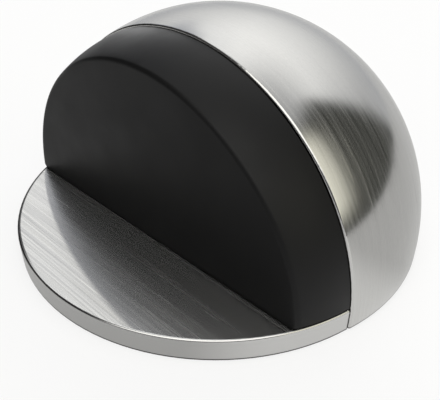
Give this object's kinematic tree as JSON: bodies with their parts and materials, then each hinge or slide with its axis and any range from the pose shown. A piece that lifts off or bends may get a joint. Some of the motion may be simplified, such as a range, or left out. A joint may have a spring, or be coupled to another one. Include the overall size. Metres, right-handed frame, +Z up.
{
  "type": "floor door stop",
  "caption": "Half-moon floor door stop: round brushed metal plate, black rubber bumper with a flat face and a hollow brushed dome cover behind it.",
  "frame": {"origin": "centre of the round base plate on its underside, which is the floor", "axes": "+Z up; -Y out of the bumper's flat face, towards the door; +X along the face; symmetric about the YZ plane"},
  "size_m": [0.0456, 0.046, 0.0239],
  "materials": {
    "plate_metal": "straight brushed top, satin side, polished rim",
    "dome_metal": "satin, brushed in arcs alongside the front edge",
    "bumper_rubber": "matt black moulded rubber",
    "screw_steel": "plain steel"
  },
  "bodies": {
    "root": {"base_plate": "plate_metal", "dome_cover": "dome_metal", "bumper": "bumper_rubber", "cover_screws": "screw_steel"}
  },
  "joints": []
}
